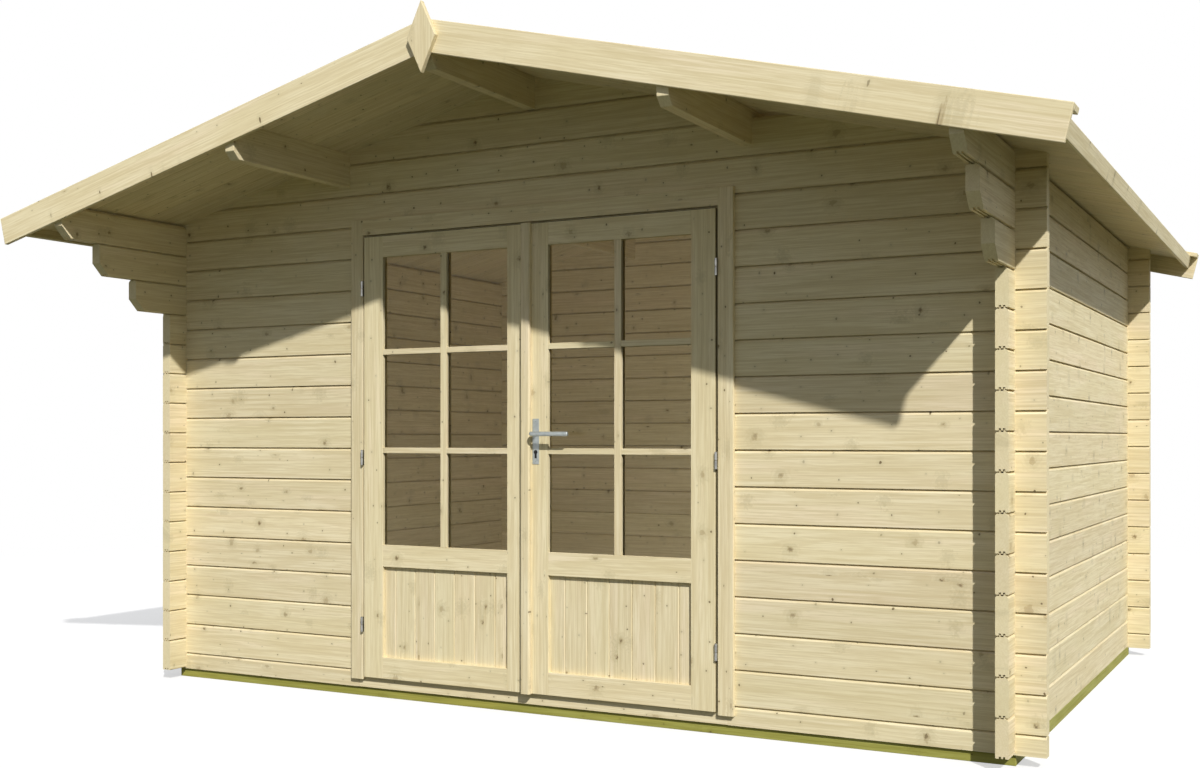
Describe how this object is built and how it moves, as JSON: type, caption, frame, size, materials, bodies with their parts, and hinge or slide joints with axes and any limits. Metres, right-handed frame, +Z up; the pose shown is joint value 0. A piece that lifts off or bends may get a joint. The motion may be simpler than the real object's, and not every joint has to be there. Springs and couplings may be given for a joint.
{
  "type": "log cabin",
  "caption": "Small wooden log cabin with a shallow gable roof and glazed double doors.",
  "frame": {"origin": "middle of the base: half-way between the outermost points left and right and front and back, at the underside of the ground bearers", "axes": "+Z up, the doors face -Y, +X to the right as seen by someone facing the doors"},
  "size_m": [4.4, 3.74, 2.6389],
  "materials": {
    "logs": "planed spruce, oiled matt",
    "boards": "planed spruce, matt",
    "bearers": "pressure-treated, green",
    "glass": "clear",
    "zinc": "zinc plated",
    "handle": "satin"
  },
  "bodies": {
    "house": {"front_bearer": "bearers", "rear_bearer": "bearers", "left_bearer": "bearers", "right_bearer": "bearers", "front_sill_log": "logs", "front_wall_left": "logs", "front_wall_right": "logs", "front_gable": "logs", "rear_wall": "logs", "rear_gable": "logs", "left_wall": "logs", "right_wall": "logs", "left_eave_logs": "logs", "right_eave_logs": "logs", "ridge_purlin": "logs", "left_purlin": "logs", "right_purlin": "logs", "left_roof_boards": "boards", "right_roof_boards": "boards", "eave_fascias": "boards", "front_barge_boards": "boards", "rear_barge_boards": "boards", "front_verge_caps": "boards", "rear_verge_caps": "boards", "gable_diamonds": "boards", "left_jamb": "boards", "right_jamb": "boards", "door_head_jamb": "boards", "left_cover_board": "boards", "right_cover_board": "boards", "head_cover_board": "boards", "frame_hinges": "zinc"},
    "left_door": {"left_door_frame": "boards", "left_door_bars": "boards", "left_door_glass": "glass", "left_door_panel": "boards", "left_door_hinges": "zinc"},
    "right_door": {"right_door_frame": "boards", "right_door_bars": "boards", "right_door_glass": "glass", "right_door_panel": "boards", "right_door_hinges": "zinc", "door_cover_strip": "boards", "handle_plates": "handle"},
    "door_handle": {"door_lever": "handle"}
  },
  "joints": [
    {"name": "right_door_hinge", "type": "hinge", "parent": "house", "child": "right_door", "pos_m": [0.8155, -1.151, 1], "axis": [0, 0, 1], "range_deg": [0, 170]},
    {"name": "left_door_hinge", "type": "hinge", "parent": "house", "child": "left_door", "pos_m": [-0.8155, -1.151, 1], "axis": [0, 0, -1], "range_deg": [0, 170]},
    {"name": "handle_turn", "type": "hinge", "parent": "right_door", "child": "door_handle", "pos_m": [0.039, -1.147, 1.116], "axis": [0, 1, 0], "range_deg": [0, 45], "stiffness_Nm_per_rad": 1.5, "springref_deg": -17.19}
  ],
  "couplings": [
    {"joint": "left_door_hinge", "follows": "right_door_hinge", "ratio": 1}
  ]
}
